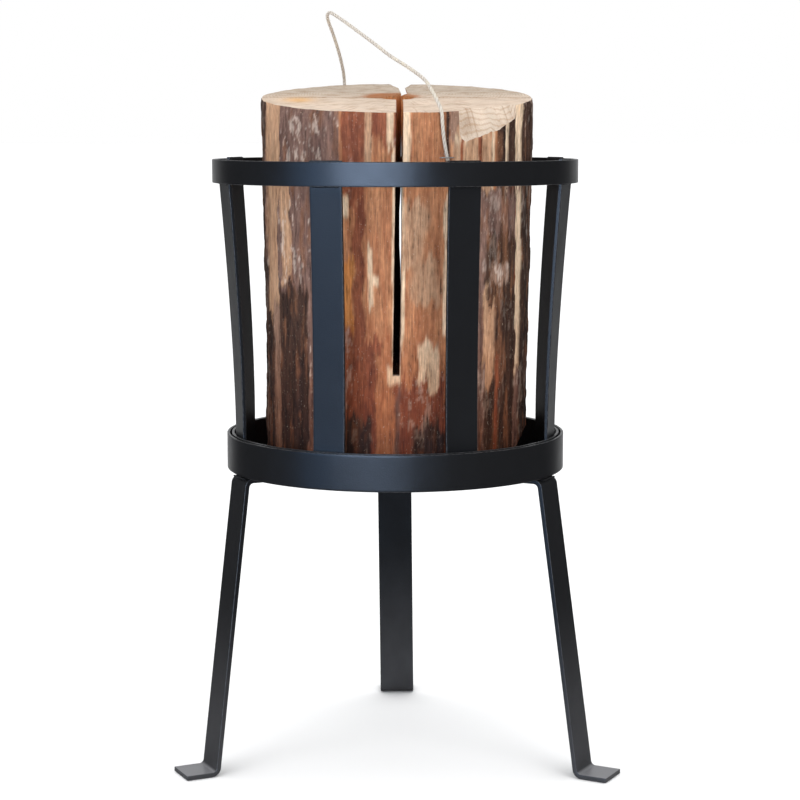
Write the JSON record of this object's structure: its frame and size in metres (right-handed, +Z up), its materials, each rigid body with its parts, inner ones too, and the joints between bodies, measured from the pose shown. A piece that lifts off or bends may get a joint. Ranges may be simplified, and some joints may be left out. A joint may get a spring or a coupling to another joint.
{
  "type": "firewood log rack",
  "caption": "Black steel stand on splayed flat-bar legs with a lift-out slatted basket that holds an upright cross-sawn fire log with a twine handle.",
  "frame": {"origin": "middle of the footprint's bounding box, on the floor the feet stand on", "axes": "+Z up along the hoops, -Y towards the front pair of slats and between the two front legs, +Y towards the rear leg"},
  "size_m": [0.389, 0.3715, 0.6605],
  "materials": {
    "painted_steel": "semi-gloss black powder coat",
    "log_wood": "round softwood log, bark partly gone, sawn faces pale",
    "twine": "undyed twisted twine",
    "staple_steel": "bright wire"
  },
  "bodies": {
    "stand": {"stand_ring": "painted_steel", "leg_rear": "painted_steel", "leg_front_left": "painted_steel", "leg_front_right": "painted_steel", "weld_rear": "painted_steel", "weld_front_left": "painted_steel", "weld_front_right": "painted_steel"},
    "basket": {"basket_ring": "painted_steel", "top_ring": "painted_steel", "floor_plate": "painted_steel", "slat_front_left": "painted_steel", "slat_left_front": "painted_steel", "slat_left_rear": "painted_steel", "slat_rear_left": "painted_steel", "slat_front_right": "painted_steel", "slat_right_front": "painted_steel", "slat_right_rear": "painted_steel", "slat_rear_right": "painted_steel"},
    "firewood": {"log": "log_wood", "twine_handle": "twine", "staple_front": "staple_steel", "staple_rear": "staple_steel"}
  },
  "joints": [
    {"name": "basket_lift", "type": "slide", "parent": "stand", "child": "basket", "axis": [0, 0, 1], "range_m": [0, 0.06]},
    {"name": "log_lift", "type": "slide", "parent": "basket", "child": "firewood", "axis": [0, 0, 1], "range_m": [0, 0.29]}
  ]
}
